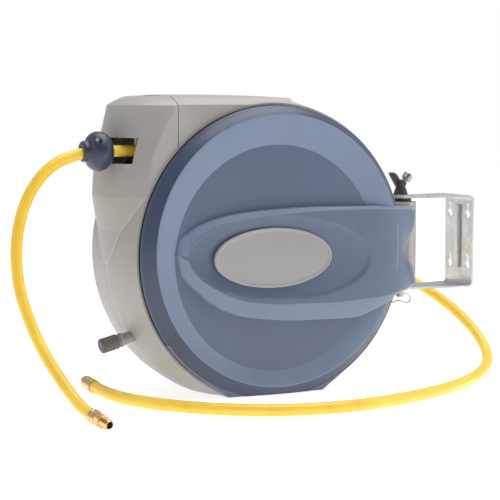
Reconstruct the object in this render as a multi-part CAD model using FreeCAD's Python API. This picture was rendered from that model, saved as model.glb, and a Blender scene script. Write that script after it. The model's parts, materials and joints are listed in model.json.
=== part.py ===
import FreeCAD, Part
import math
import os

# Retractable air hose reel with a swivelling wall bracket. Millimetres, +Z up.
# Origin: on the floor, at the middle of the flat base, straight under the drum axis.
# +X points to the wall bracket, -X to the hose outlet, -Y to the blue front cover.

V = FreeCAD.Vector
UP = V(0, 0, 1)
ALONG_X = V(1, 0, 0)
ALONG_Y = V(0, 1, 0)

# Driving dimensions
WALL = 3.0                 # moulded wall thickness
AXIS_Z = 186.0             # drum axis above the floor
HALF_DEPTH = 76.5          # mid-plane to the housing's front edge
REAR_Y = 84.0              # outer face of the rear wall
BARREL_FRONT_R = 196.5     # housing radius at its front edge
BARREL_MID_R = 205.0       # housing radius at the mid-plane
BARREL_SHOULDER_R = 200.5  # housing radius where the rear rounding starts
BARREL_REAR_R = 172.0      # housing radius at the rear wall
SHOULDER_Y = 60.0
FOOT_HALF = 70.0           # half length of the flat base
COVER_R = 195.0
COVER_BACK_Y = -77.0       # rear edge of the front cover's skirt
CROWN_Z = 393.0            # top of the hose outlet housing at the mid-plane
RIDGE_Z = 390.8            # its top where the roof starts to slope to the eaves
RIDGE_Y = 55.0
EAVE_Z = 380.0             # its top edge at the front and the rear
ROOF_END_X = 32.0          # where the outlet housing's top runs out on the barrel
PROW_X = -118.0            # vertical axis of the rounded prow
SEAM_X = -137.0            # joint between the prow moulding and the housing
SEAM_GAP = 0.9
SLOT_HALF = 58.0           # half width of the hose outlet slot
SLOT_LOW_Z = 305.0
SLOT_HIGH_Z = 338.0
PIVOT_X = 243.0            # bracket pivot
PIVOT_R = 6.0
BRACKET_LOW_Z = 120.0
BRACKET_HIGH_Z = 251.0
BRACKET_X = 344.0          # wall face of the bracket
BRACKET_HALF = 34.0
STEEL = 3.0                # bracket sheet thickness
HOSE_R = 7.5
FERRULE_R = 8.8
HEX_R = 9.8
THREAD_R = 6.6             # outlet end: 1/4 inch male pipe thread
SOCKET_R = 8.6             # lead-in end: round socket
SOCKET_BORE_R = 5.7        # its 1/4 inch female pipe thread
HOSE_Z = 321.0             # height of the hose where it leaves the drum
GUIDE_Y = -31.0            # rest position of the level wind
CLAMP_X = -232.0           # end of the inner hose, gripped inside the stop ball
BALL_BASE_X = -212.0       # face of the stop ball towards the housing
AXLE_R = 12.5
DRUM_HALF = 58.0           # half distance between the drum flanges
HUB_R = 80.0
FLANGE_R = 165.0
TURN_R = 135.0             # centre radius of the outer layer of hose
RUN_GAP = 0.05             # radial clearance of a running fit
GAP = 0.5                  # plain clearance between neighbours
MODULE = 3.0
DRUM_TEETH = 24
IDLER_TEETH = 27
SCREW_TEETH = 10
GEAR_Y0 = -67.5
GEAR_Y1 = -62.5
SCREW_X = -149.0
SCREW_R = 8.0
JOURNAL_R = 4.5
GUIDE_ROD_R = 4.0
GUIDE_ROD_X = -158.0
GUIDE_ROD_Z = 290.0
ROLLER_X = -168.5
BOSS_RADIUS = 183.0        # pitch radius of the housing's screw bosses
BOSS_ANGLES = [45, 105, 165, 225, 285, 345]
RATCHET_TEETH = 24
RATCHET_R = 58.0
PAWL_X = 40.0
PAWL_Z = 239.5
PAWL_SWING = 12.0          # drawn swung clear of the ratchet by this many degrees
OUTLET_ROUTE = [(-237, -31, 321), (-268, -31, 316), (-300, -31, 299), (-328, -34, 264), (-345, -42, 213),
                (-348, -56, 159), (-341, -78, 113), (-331, -104, 75), (-320, -131, 46), (-313, -157, 26.6),
                (-309, -181, 15.8), (-304.5, -204, 11.6)]
LEAD_IN_ROUTE = [(26, 106, 186), (76, 109, 186), (141, 119, 182), (211, 127, 168), (278, 123, 143),
                 (330, 104, 117), (361, 72, 92), (380, 30, 60), (380, -12, 33), (360, -52, 15),
                 (318, -96, 8.5), (260, -148, 7.5), (192, -193, 7.5), (106, -230, 7.5), (15, -252, 7.5),
                 (-78, -238, 7.5), (-152, -184, 7.5), (-198, -114, 7.5), (-219, -37, 8.2), (-216, 28, 11.6)]

SCREW_DISTANCE = MODULE * (DRUM_TEETH + 2 * IDLER_TEETH + 2 * IDLER_TEETH + SCREW_TEETH) / 2.0
SCREW_Z = AXIS_Z + math.sqrt(SCREW_DISTANCE ** 2 - SCREW_X ** 2)
GEAR_ANGLE = math.atan2(SCREW_Z - AXIS_Z, SCREW_X)
IDLER_1_DISTANCE = MODULE * (DRUM_TEETH + IDLER_TEETH) / 2.0
IDLER_2_DISTANCE = IDLER_1_DISTANCE + MODULE * IDLER_TEETH


# Basic shapes
def box(x0, x1, y0, y1, z0, z1):
    return Part.makeBox(x1 - x0, y1 - y0, z1 - z0, V(x0, y0, z0))


def cyl_x(radius, x0, x1, y, z):
    return Part.makeCylinder(radius, x1 - x0, V(x0, y, z), ALONG_X)


def cyl_y(radius, y0, y1, x=0.0, z=AXIS_Z):
    return Part.makeCylinder(radius, y1 - y0, V(x, y0, z), ALONG_Y)


def cyl_z(radius, z0, z1, x, y):
    return Part.makeCylinder(radius, z1 - z0, V(x, y, z0), UP)


def ring_y(outer, inner, y0, y1, x=0.0, z=AXIS_Z):
    return cyl_y(outer, y0, y1, x, z).cut(cyl_y(inner, y0 - 1, y1 + 1, x, z))


def ring_z(outer, inner, z0, z1, x, y):
    return cyl_z(outer, z0, z1, x, y).cut(cyl_z(inner, z0 - 1, z1 + 1, x, y))


def line(a, b):
    return Part.LineSegment(a, b).toShape()


def arc(a, middle, b):
    return Part.Arc(a, middle, b).toShape()


def face(edges):
    return Part.Face(Part.Wire(edges))


def outline(points):
    closed = points + [points[0]]
    return Part.Face(Part.makePolygon(closed))


def fuse(shapes):
    return shapes[0].multiFuse(shapes[1:]).removeSplitter()


def export(name, shape):
    if isinstance(shape, list):
        shape = Part.makeCompound(shape)
    shape.exportStep("parts/" + name + ".step")


# Turned shapes about the drum axis, from (radius, y) corners and arcs
def turned(edges):
    return face(edges).revolve(V(0, 0, AXIS_Z), ALONG_Y, 360)


def at(radius, y):
    return V(radius, y, AXIS_Z)


# Housing: a barrel with a prow for the hose outlet and a flat foot
def barrel(inset, front_y):
    front = at(BARREL_FRONT_R - inset, front_y)
    edge = at(BARREL_FRONT_R - inset, -HALF_DEPTH)
    middle = at(BARREL_MID_R - inset, 0)
    shoulder = at(BARREL_SHOULDER_R - inset, SHOULDER_Y - inset)
    back = at(BARREL_REAR_R - inset, REAR_Y - inset)
    edges = [
        arc(edge, at(BARREL_MID_R - inset - 2.0, -38), middle),
        arc(middle, at(BARREL_MID_R - inset - 1.1, 30), shoulder),
        arc(shoulder, at(191.5 - inset, 75.5 - inset), back),
        line(back, at(0, REAR_Y - inset)),
        line(at(0, REAR_Y - inset), at(0, front_y)),
        line(at(0, front_y), front),
    ]
    if front_y < -HALF_DEPTH:
        edges.append(line(front, edge))
    return turned(edges)


def foot_outline(radius, half, low_z, y):
    drop = AXIS_Z - low_z
    reach = math.hypot(half, drop)
    angle = math.atan2(-drop, half) + math.acos(radius / reach)
    tx = radius * math.cos(angle)
    tz = AXIS_Z + radius * math.sin(angle)
    return outline([V(-half, y, low_z), V(half, y, low_z), V(tx, y, tz), V(0, y, AXIS_Z), V(-tx, y, tz)])


def prow_block(inset):
    top = CROWN_Z - inset
    profile = [
        (PROW_X - RIDGE_Y + inset * 0.8, RIDGE_Z - inset), (-197 + inset, 379.3 - inset * 0.4),
        (-206 + inset, 339), (-214 + inset, 300),
        (-217 + inset, 262), (-209.5 + inset, 218), (-207 + inset, 190), (-203.5 + inset, 165),
        (-195 + inset, 130),
    ]
    points = [V(x, 0, z) for x, z in profile]
    edges = [
        arc(points[0], V(-185.4 + inset * 0.9, 0, 385.9 - inset * 0.7), points[1]),
        line(points[1], points[2]),
        arc(points[2], points[3], points[4]),
        arc(points[4], V(-214 + inset, 0, 240), points[5]),
        arc(points[5], points[6], points[7]),
        line(points[7], points[8]),
        line(points[8], V(PROW_X, 0, 130)),
        line(V(PROW_X, 0, 130), V(PROW_X, 0, top)),
        arc(V(PROW_X, 0, top), V(PROW_X - 28, 0, 392.4 - inset), points[0]),
    ]
    prow = face(edges).revolve(V(PROW_X, 0, 0), UP, 360)
    half = HALF_DEPTH - inset
    shoulder = box(PROW_X, ROOF_END_X, -half, half, AXIS_Z, top)
    slab = box(-260, ROOF_END_X, -half, half, 100, 420)
    crown = face([
        line(V(-260, -half, 100), V(-260, -half, EAVE_Z - inset)),
        arc(V(-260, -half, EAVE_Z - inset), V(-260, -66.2 + inset, 386 - inset),
            V(-260, -RIDGE_Y, RIDGE_Z - inset)),
        arc(V(-260, -RIDGE_Y, RIDGE_Z - inset), V(-260, 0, top), V(-260, RIDGE_Y, RIDGE_Z - inset)),
        arc(V(-260, RIDGE_Y, RIDGE_Z - inset), V(-260, 66.2 - inset, 386 - inset),
            V(-260, half, EAVE_Z - inset)),
        line(V(-260, half, EAVE_Z - inset), V(-260, half, 100)),
        line(V(-260, half, 100), V(-260, -half, 100)),
    ]).extrude(V(300, 0, 0))
    return prow.fuse(shoulder).common(slab).common(crown).cut(above_roof(inset))


def above_roof(inset):
    # The shoulder's top falls gently to the barrel on the bracket side of the crown
    start = V(-240, -100, CROWN_Z - inset)
    end = V(ROOF_END_X, -100, 388.4 - inset)
    return face([
        arc(start, V(-90, -100, CROWN_Z + 0.5 - inset), end),
        line(end, V(ROOF_END_X, -100, 420)),
        line(V(ROOF_END_X, -100, 420), V(-240, -100, 420)),
        line(V(-240, -100, 420), start),
    ]).extrude(V(0, 200, 0))


def housing():
    above_floor = box(-300, 300, -120, 120, 0, 420)
    foot = foot_outline(BARREL_FRONT_R, FOOT_HALF, 0.0, -HALF_DEPTH).extrude(V(0, 2 * HALF_DEPTH, 0))
    outer_barrel = barrel(0.0, -HALF_DEPTH).fuse(foot).common(above_floor)
    prow = prow_block(0.0)
    inner_foot = foot_outline(BARREL_FRONT_R - WALL, FOOT_HALF - WALL, WALL, -HALF_DEPTH - 5)
    cavity = barrel(WALL, -HALF_DEPTH - 5).fuse(inner_foot.extrude(V(0, 2 * HALF_DEPTH + 2, 0)))
    cavity = cavity.common(box(-300, 300, -120, 120, WALL, 420))
    cavity = cavity.fuse(prow_block(WALL))
    slot = box(-250, -150, -SLOT_HALF, SLOT_HALF, SLOT_LOW_Z, SLOT_HIGH_Z)
    return outer_barrel, prow, cavity, slot


def grip(radius):
    return cyl_y(radius, -34, 34, x=-150, z=CROWN_Z + 4.5)


def pivot_pillar():
    pillar = cyl_z(22, 127, 243, PIVOT_X, 0)
    web = box(150, PIVOT_X, -22, 22, 127, 243)
    return pillar.fuse(web).cut(cyl_z(9, 120, 250, PIVOT_X, 0))


def build_shells():
    outer_barrel, prow, cavity, slot = housing()
    body = outer_barrel.fuse(prow.common(box(SEAM_X, 300, -100, 100, 0, 420)))
    body = body.fuse(pivot_pillar().cut(barrel(1.0, -HALF_DEPTH))).cut(cavity)
    body = body.cut(cyl_y(16, REAR_Y - 10, REAR_Y + 5))
    for angle in BOSS_ANGLES:
        x, z = on_circle(BOSS_RADIUS, angle)
        rib = box(BOSS_RADIUS, BOSS_RADIUS + 16, -72, 78, AXIS_Z - 1.5, AXIS_Z + 1.5)
        rib.rotate(V(0, 0, AXIS_Z), ALONG_Y, -angle)
        boss = cyl_y(7, -72, 78, x, z).fuse(rib).common(outer_barrel)
        body = body.fuse(boss).cut(cyl_y(4.2, 75, 90, x, z)).cut(cyl_y(2.0, -12, 80, x, z))
    front = body.common(box(-300, 300, -120, 0, 0, 420))
    rear = body.common(box(-300, 300, 0, 120, 0, 420))
    nose = prow.common(box(-300, SEAM_X - SEAM_GAP, -100, 100, 0, 420)).cut(outer_barrel)
    grip_wall = grip(15).common(prow).common(box(-200, SEAM_X - SEAM_GAP, -100, 100, 300, 420))
    nose = nose.cut(cavity).fuse(grip_wall).cut(grip(12)).cut(slot)
    for side in (-1, 1):
        y0 = min(side * 69, side * 75)
        nose = nose.fuse(cyl_y(8, y0, y0 + 6, SCREW_X, SCREW_Z)).fuse(cyl_y(7, y0, y0 + 6, GUIDE_ROD_X, GUIDE_ROD_Z))
    nose = nose.cut(cyl_y(JOURNAL_R + RUN_GAP, -73, 73, SCREW_X, SCREW_Z))
    nose = nose.cut(cyl_y(GUIDE_ROD_R, -73, 73, GUIDE_ROD_X, GUIDE_ROD_Z)).cut(body)
    return front, rear, biggest(nose)


def biggest(shape):
    return max(shape.Solids, key=lambda solid: solid.Volume)


def on_circle(radius, degrees):
    angle = math.radians(degrees)
    return radius * math.cos(angle), AXIS_Z + radius * math.sin(angle)


# Front cover: a dished disc with a raised eye that runs out into an arm over the pivot
def dish(inset):
    skirt = COVER_R - inset
    corners = [at(skirt, COVER_BACK_Y), at(skirt, -83.0 + inset * 0.5), at(192 - inset, -86 + inset),
               at(181.5 - inset * 0.6, -95 + inset), at(147, -90 + inset), at(0, -93 + inset)]
    edges = [
        line(corners[0], corners[1]),
        arc(corners[1], at(194.2 - inset, -85.2 + inset * 0.8), corners[2]),
        line(corners[2], corners[3]),
        line(corners[3], corners[4]),
        arc(corners[4], at(74, -92.2 + inset), corners[5]),
        line(corners[5], at(0, COVER_BACK_Y)),
        line(at(0, COVER_BACK_Y), corners[0]),
    ]
    return turned(edges)


def eye_outline(inset, y):
    tip = V(-152 + 2 * inset, y, 184)
    upper = V(60, y, 244.5 - inset)
    upper_end = V(246 - inset, y, 241 - inset)
    lower_end = V(246 - inset, y, 125.5 + inset)
    lower_knee = V(166, y, 125.5 + inset)
    lower = V(50, y, 97 + inset)
    return face([
        arc(tip, V(-62 + inset * 0.3, y, 227.5 - inset), upper),
        line(upper, upper_end),
        line(upper_end, lower_end),
        line(lower_end, lower_knee),
        arc(lower_knee, V(112, y, 101.5 + inset), lower),
        arc(lower, V(-72 + inset * 0.3, y, 124 + inset), tip),
    ])


def arm_plan(inset, z):
    tip = V(-156, -89 + inset, z)
    crest_1 = V(-60, -103 + inset, z)
    crest_2 = V(60, -105 + inset, z)
    turn = V(176 - inset * 0.2, -96 + inset, z)
    end = V(246 - inset * 0.6, -42 + inset * 0.8, z)
    return face([
        arc(tip, V(-112, -98.5 + inset, z), crest_1),
        line(crest_1, crest_2),
        arc(crest_2, V(124, -103.2 + inset, z), turn),
        arc(turn, V(218 - inset * 0.5, -76 + inset * 0.9, z), end),
        line(end, V(end.x, -36, z)),
        line(V(end.x, -36, z), V(-156, -36, z)),
        line(V(-156, -36, z), tip),
    ])


def arm_block(inset):
    plan = arm_plan(inset, 60).extrude(V(0, 0, 220))
    eye = eye_outline(inset, -130).extrude(V(0, 110, 0))
    return plan.common(eye)


def badge_recess(y0, y1, grow):
    ellipse = Part.Ellipse(V(0, 0, 0), 86 + grow, 39 + grow).toShape()
    plate = Part.Face(Part.Wire([ellipse])).extrude(V(0, 0, y1 - y0))
    plate.rotate(V(0, 0, 0), ALONG_X, -90)
    plate.translate(V(-14, y0, 182))
    return plate


def build_cover():
    above_floor = box(-300, 300, -130, -30, 0, 420)
    lip = foot_outline(COVER_R, FOOT_HALF, 0.0, -85.5).extrude(V(0, 8.5, 0))
    lip_inner = foot_outline(COVER_R - WALL, FOOT_HALF - WALL, WALL, -82.5).extrude(V(0, 8.5, 0))
    behind = cyl_y(BARREL_FRONT_R, COVER_BACK_Y, -20).fuse(barrel(-GAP, -HALF_DEPTH - GAP))
    arm = arm_block(0.0).cut(behind)
    arm_inner = arm_block(WALL).cut(cyl_y(COVER_R - WALL, -130, -20).cut(cyl_y(188, -130, -20)))
    rim_wall = dish(0.0).cut(dish(WALL)).cut(cyl_y(183, -130, -20))
    cover = fuse([dish(0.0), lip, arm]).common(above_floor)
    hollow = dish(WALL).fuse(lip_inner).common(box(-300, 300, -130, -30, WALL, 420))
    hollow = hollow.fuse(cyl_y(COVER_R - WALL, COVER_BACK_Y - 1, -20).common(
        box(-300, 300, -130, -20, WALL, 420)))
    cover = cover.cut(hollow).cut(arm_inner.cut(rim_wall))
    notch = cyl_y(33, -130, -20, x=256, z=183.5)
    cover = cover.cut(notch)
    cover = cover.cut(badge_recess(-120, -102.5, 0.3))
    return biggest(cover)


def build_badge():
    plate = badge_recess(-106.5, -102.5, 0.0)
    rim_edges = [e for e in plate.Edges if abs(e.CenterOfMass.y + 106.5) < 0.01]
    plate = plate.makeChamfer(2.0, rim_edges)
    dished = badge_recess(-107.0, -106.0, -7.0)
    return plate.cut(dished)


def build_front_plate():
    plate = cyl_y(BARREL_FRONT_R - WALL - GAP, -76, -73)
    locating_ring = ring_y(COVER_R - WALL - GAP, COVER_R - WALL - 3, -82, -76)
    plate = plate.fuse(locating_ring).common(box(-300, 300, -120, 0, WALL + GAP, 420))
    return plate.cut(cyl_y(AXLE_R, -90, -60))


# Drum and what turns with it
def build_hub():
    return ring_y(HUB_R, HUB_R - 4, -DRUM_HALF + 3, DRUM_HALF - 3)


def build_flange(side):
    y0 = side * DRUM_HALF - 1.5 - side * 1.5
    disc = ring_y(FLANGE_R, AXLE_R + 4, y0, y0 + 3)
    windows = []
    for k in range(6):
        x, z = on_circle(118, 60 * k + 15)
        windows.append(cyl_y(17, y0 - 1, y0 + 4, x, z))
    bead = ring_y(FLANGE_R + 1.5, FLANGE_R - 2.5, y0 - 0.5, y0 + 3.5)
    return disc.cut(Part.makeCompound(windows)).fuse(bead)


def build_bush(side):
    inner_y = side * (DRUM_HALF - 10)
    outer_y = side * (DRUM_HALF + 3)
    sleeve = ring_y(AXLE_R + 4, AXLE_R + RUN_GAP, min(inner_y, outer_y), max(inner_y, outer_y))
    shoulder_y = side * (DRUM_HALF - 3)
    far_y = side * (DRUM_HALF - 6)
    return sleeve.fuse(ring_y(AXLE_R + 8, AXLE_R + 2, min(shoulder_y, far_y), max(shoulder_y, far_y)))


def build_winding():
    # Wound hose: the outer layer shows its turns as scallops
    turns = 7
    pitch = 2.0 * HOSE_R + 0.4
    half = turns * pitch / 2.0
    edges = []
    start = at(HUB_R + GAP, -half)
    edges.append(line(start, at(TURN_R, -half)))
    for k in range(turns):
        y0 = -half + k * pitch
        edges.append(arc(at(TURN_R, y0), at(TURN_R + HOSE_R, y0 + pitch / 2), at(TURN_R, y0 + pitch)))
    edges.append(line(at(TURN_R, half), at(HUB_R + GAP, half)))
    edges.append(line(at(HUB_R + GAP, half), start))
    return turned(edges)


def build_spring_cassette():
    cup = cyl_y(HUB_R - 4.5, -46, -16).cut(cyl_y(HUB_R - 7, -44, -15))
    return cup.cut(cyl_y(AXLE_R + 2, -60, -10))


def build_mainspring():
    # Flat spiral spring as nested rings of strip, joined into one coil by a radial web
    rings = [ring_y(r + 0.9, r, -42, -18) for r in [20 + 4.6 * k for k in range(12)]]
    web = box(0, 2.0, -42, -18, AXIS_Z + 20, AXIS_Z + 20 + 4.6 * 11 + 0.9)
    return fuse([web] + rings)


def build_union():
    body = ring_y(24, AXLE_R + RUN_GAP, 8, 40)
    body = body.fuse(ring_y(27, AXLE_R + 3, 8, 14)).fuse(ring_y(27, AXLE_R + 3, 34, 40))
    return body


def build_union_nipple():
    tube = cyl_z(7, AXIS_Z + 23.9, AXIS_Z + HUB_R - 4.5, 0, 24)
    nut = Part.Face(Part.makePolygon(hexagon(10, V(0, 24, AXIS_Z + 30), ALONG_X, ALONG_Y)))
    nipple = tube.fuse(nut.extrude(V(0, 0, 9)))
    return nipple.cut(cyl_z(4, AXIS_Z + 20, AXIS_Z + HUB_R, 0, 24)).cut(cyl_y(24, 8, 40))


def hexagon(radius, centre, first, second):
    points = [centre + first * (radius * math.cos(math.radians(60 * k)))
              + second * (radius * math.sin(math.radians(60 * k))) for k in range(6)]
    return points + [points[0]]


def gear(teeth, x, z, tooth_angle, bore):
    pitch_r = MODULE * teeth / 2.0
    step = 2 * math.pi / teeth
    shape = [(-0.30, pitch_r - 1.25 * MODULE), (-0.215, pitch_r), (-0.10, pitch_r + 0.9 * MODULE),
             (0.10, pitch_r + 0.9 * MODULE), (0.215, pitch_r), (0.30, pitch_r - 1.25 * MODULE)]
    points = []
    for k in range(teeth):
        for turn, radius in shape:
            angle = tooth_angle + (k + turn) * step
            points.append(V(x + radius * math.cos(angle), GEAR_Y0, z + radius * math.sin(angle)))
    wheel = outline(points).extrude(V(0, GEAR_Y1 - GEAR_Y0, 0))
    return wheel.cut(cyl_y(bore, GEAR_Y0 - 1, GEAR_Y1 + 1, x, z))


def along_train(distance):
    return distance * math.cos(GEAR_ANGLE), AXIS_Z + distance * math.sin(GEAR_ANGLE)


def build_drum_gear():
    collar = ring_y(26, AXLE_R + 4.5, GEAR_Y1, -DRUM_HALF - GAP)
    return gear(DRUM_TEETH, 0, AXIS_Z, GEAR_ANGLE, AXLE_R + 4.5).fuse(collar)


def build_idler(distance, tooth_angle):
    x, z = along_train(distance)
    wheel = gear(IDLER_TEETH, x, z, tooth_angle, 5.0 + RUN_GAP)
    for k in range(5):
        angle = math.radians(72 * k)
        wheel = wheel.cut(cyl_y(8, -72, -60, x + 22 * math.cos(angle), z + 22 * math.sin(angle)))
    return wheel


def build_idler_pins():
    pins = []
    for distance in (IDLER_1_DISTANCE, IDLER_2_DISTANCE):
        x, z = along_train(distance)
        pins.append(cyl_y(5, -73, -61, x, z))
    return pins


def build_ratchet():
    step = 2 * math.pi / RATCHET_TEETH
    points = []
    for k in range(RATCHET_TEETH):
        for turn, radius in ((0.0, RATCHET_R - 6), (0.42, RATCHET_R - 6), (0.5, RATCHET_R), (0.86, RATCHET_R)):
            angle = math.pi / 2 + (k + turn - 0.21) * step
            points.append(V(radius * math.cos(angle), 62, AXIS_Z + radius * math.sin(angle)))
    wheel = outline(points).extrude(V(0, 6, 0))
    return wheel.cut(cyl_y(40, 60, 70)).fuse(ring_y(46, 40, DRUM_HALF, 68))


def build_pawl():
    tip_z = AXIS_Z + RATCHET_R - 4.5
    blade = [(38, 234), (40, 246), (0, 252), (-3.6, 247), (-3.0, tip_z), (2.6, tip_z), (3.8, 246.2),
             (20, 244.5), (33, 236.5)]
    pawl = outline([V(x, 62.4, z) for x, z in blade]).extrude(V(0, 5.2, 0))
    pawl = pawl.fuse(cyl_y(6.5, 62.4, 67.6, PAWL_X, PAWL_Z)).cut(cyl_y(3 + RUN_GAP, 60, 70, PAWL_X, PAWL_Z))
    pawl.rotate(V(PAWL_X, 0, PAWL_Z), ALONG_Y, PAWL_SWING)
    pin = cyl_y(3, 61.5, REAR_Y - WALL, PAWL_X, PAWL_Z)
    return pawl, pin


# Level wind behind the outlet slot
def build_level_wind_screw():
    core = cyl_y(SCREW_R, -60, 60, SCREW_X, SCREW_Z)
    journals = cyl_y(JOURNAL_R, -72, 72, SCREW_X, SCREW_Z)
    return core.fuse(journals)


def build_guide_rod():
    return cyl_y(GUIDE_ROD_R, -73, 73, GUIDE_ROD_X, GUIDE_ROD_Z)


def build_carriage():
    low = GUIDE_Y - 15
    high = GUIDE_Y + 15
    parts = [
        box(-162, -136, low, high, 329.5, 351),
        box(GUIDE_ROD_X - 9, GUIDE_ROD_X + 9, low, high, GUIDE_ROD_Z - 9, GUIDE_ROD_Z + 13.5),
        box(-160, -138, low, GUIDE_Y - 10, 298, 351),
        box(-160, -138, GUIDE_Y + 10, high, 298, 351),
        box(ROLLER_X - 5, -150, low, high, 300.5, 303.5),
        box(ROLLER_X - 5, -150, low, high, 339.5, 342.5),
    ]
    carriage = fuse(parts)
    carriage = carriage.cut(cyl_y(SCREW_R + RUN_GAP, -100, 100, SCREW_X, SCREW_Z))
    carriage = carriage.cut(cyl_y(GUIDE_ROD_R + RUN_GAP, -100, 100, GUIDE_ROD_X, GUIDE_ROD_Z))
    return carriage


def build_roller(side):
    y = GUIDE_Y + side * 12.3
    roller = ring_z(4.2, 1.5 + RUN_GAP, 304, 339, ROLLER_X, y)
    waist = ring_z(5, 3.9, 314, 328, ROLLER_X, y)
    pin = cyl_z(1.5, 303.5, 339.5, ROLLER_X, y)
    return roller.cut(waist), pin


def build_ball():
    # Hose stop: an egg with a short collar, in two halves held on the hose by a screw from each side
    base = BALL_BASE_X
    axis_z = HOSE_Z
    profile = [(0, 12.5), (4.8, 20.5), (15, 25.3), (26, 22.6), (31.5, 15.5), (33.2, 14.0), (35.5, 13.6),
               (38.8, 12.6), (40, 10.5)]
    points = [V(base - x, GUIDE_Y, axis_z + r) for x, r in profile]
    edges = [arc(points[k], points[k + 1], points[k + 2]) for k in (0, 2, 4, 6)]
    left = V(points[-1].x, GUIDE_Y, axis_z)
    right = V(base, GUIDE_Y, axis_z)
    edges += [line(points[-1], left), line(left, right), line(right, points[0])]
    ball = face(edges).revolve(V(0, GUIDE_Y, axis_z), ALONG_X, 360)
    exit_start = V(*OUTLET_ROUTE[0])
    exit_direction = V(*OUTLET_ROUTE[1]) - exit_start
    ball = ball.cut(cyl_x(HOSE_R, CLAMP_X, -200, GUIDE_Y, axis_z))
    ball = ball.cut(Part.makeCylinder(HOSE_R + 1.2, 60, exit_start, exit_direction))
    screws = []
    for side in (1, -1):
        x = base - 23
        z = axis_z + side * 14.5
        outside = sorted((GUIDE_Y - side * 12, GUIDE_Y - side * 40))
        head = sorted((GUIDE_Y - side * 12, GUIDE_Y - side * 15))
        ball = ball.cut(cyl_y(3.6, outside[0], outside[1], x, z))
        shank = cyl_y(1.8, GUIDE_Y - 14, GUIDE_Y + 14, x, z)
        ball = ball.cut(shank)
        screws.append(shank.fuse(cyl_y(3.3, head[0], head[1], x, z)))
    near = ball.common(box(-300, -150, -100, GUIDE_Y - 0.15, 200, 400))
    far = ball.common(box(-300, -150, GUIDE_Y + 0.15, 100, 200, 400))
    return near, far, screws


# Hoses: straight runs joined by tangent arcs, as large as the runs allow
def route_path(points, report=None):
    corners = [V(*p) for p in points]
    edges = []
    start = corners[0]
    for k in range(1, len(corners) - 1):
        before = corners[k] - corners[k - 1]
        after = corners[k + 1] - corners[k]
        turn = before.getAngle(after)
        shorter = min(before.Length, after.Length)
        reach = 0.45 * shorter
        radius = reach / math.tan(turn / 2)
        enter = corners[k] - before.normalize() * reach
        leave = corners[k] + after.normalize() * reach
        inward = (after - before).normalize()
        middle = corners[k] + inward * (radius / math.cos(turn / 2) - radius)
        edges.append(line(start, enter))
        edges.append(arc(enter, middle, leave))
        start = leave
        if report is not None:
            report.append(round(radius))
    edges.append(line(start, corners[-1]))
    return Part.Wire(edges)


def cord_tube(points, radius):
    path = route_path(points)
    first = V(*points[1]) - V(*points[0])
    ring = Part.Wire([Part.Circle(V(*points[0]), first, radius).toShape()])
    return path.makePipeShell([ring], True, False)


def report_cord(name, points):
    radii = []
    path = route_path(points, radii)
    tube = cord_tube(points, HOSE_R)
    ratio = tube.Volume / (math.pi * HOSE_R ** 2 * path.Length)
    print(name, "length", round(path.Length), "mm, bend radii", radii, "volume ratio", round(ratio, 4))


def end_frame(points):
    end = V(*points[-1])
    direction = (end - V(*points[-2])).normalize()
    return end, direction


def crimped_ferrule(end, direction, on_hose, beyond):
    start = end - direction * on_hose
    ferrule = Part.makeCylinder(FERRULE_R, on_hose + beyond, start, direction)
    ferrule = ferrule.cut(Part.makeCylinder(HOSE_R, on_hose, start, direction))
    for k in range(2):
        ferrule = ferrule.cut(Part.makeTorus(FERRULE_R + 0.6, 1.2, start + direction * (3 + 4 * k), direction))
    return ferrule


def build_outlet_fitting():
    end, direction = end_frame(OUTLET_ROUTE)
    side = direction.cross(UP).normalize()
    other = direction.cross(side).normalize()
    ferrule = crimped_ferrule(end, direction, 9, 4)
    nut = Part.Face(Part.makePolygon(hexagon(HEX_R, end + direction * 4, side, other)))
    nipple = nut.extrude(direction * 9).fuse(Part.makeCylinder(THREAD_R, 15, end + direction * 13, direction))
    return ferrule, nipple.cut(Part.makeCylinder(4.4, 60, end + direction * 4, direction))


def build_lead_in_fitting():
    end, direction = end_frame(LEAD_IN_ROUTE)
    ferrule = crimped_ferrule(end, direction, 12, 5)
    socket = Part.makeCylinder(SOCKET_R, 17, end + direction * 5, direction)
    bore = Part.makeCylinder(SOCKET_BORE_R, 20, end + direction * 9, direction)
    return ferrule, socket.cut(bore)


def build_inlet():
    elbow = cyl_y(10, REAR_Y + 5, 106).fuse(cyl_x(10, 0, 14, 106, AXIS_Z))
    elbow = elbow.fuse(Part.makeSphere(10, V(0, 106, AXIS_Z)))
    nut = Part.Face(Part.makePolygon(hexagon(12, V(0, REAR_Y + 9, AXIS_Z), ALONG_X, UP)))
    elbow = elbow.fuse(nut.extrude(V(0, 8, 0)))
    elbow = elbow.cut(cyl_y(5, REAR_Y, 106)).cut(cyl_x(5, 0, 20, 106, AXIS_Z))
    ferrule = cyl_x(FERRULE_R + 0.4, 14, 40, 106, AXIS_Z).cut(cyl_x(5, 10, 30, 106, AXIS_Z))
    return elbow, ferrule.cut(cord_tube(LEAD_IN_ROUTE, HOSE_R))


# Stop peg low on the outlet side
def build_peg():
    root = V(-168, -8, 79)
    direction = V(-0.97, 0, -0.235).normalize()
    shank = Part.makeCylinder(7.5, 31, root, direction)
    flange = Part.makeCylinder(9.5, 4, root + direction * 20, direction)
    cap = Part.makeCylinder(10, 24, root + direction * 28, direction)
    cap_edges = [e for e in cap.Edges if (e.CenterOfMass - root).Length > 50]
    cap = cap.makeFillet(3.5, cap_edges)
    cap = cap.cut(shank)
    return shank.fuse(flange).cut(barrel(0.0, -HALF_DEPTH)), cap


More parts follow.
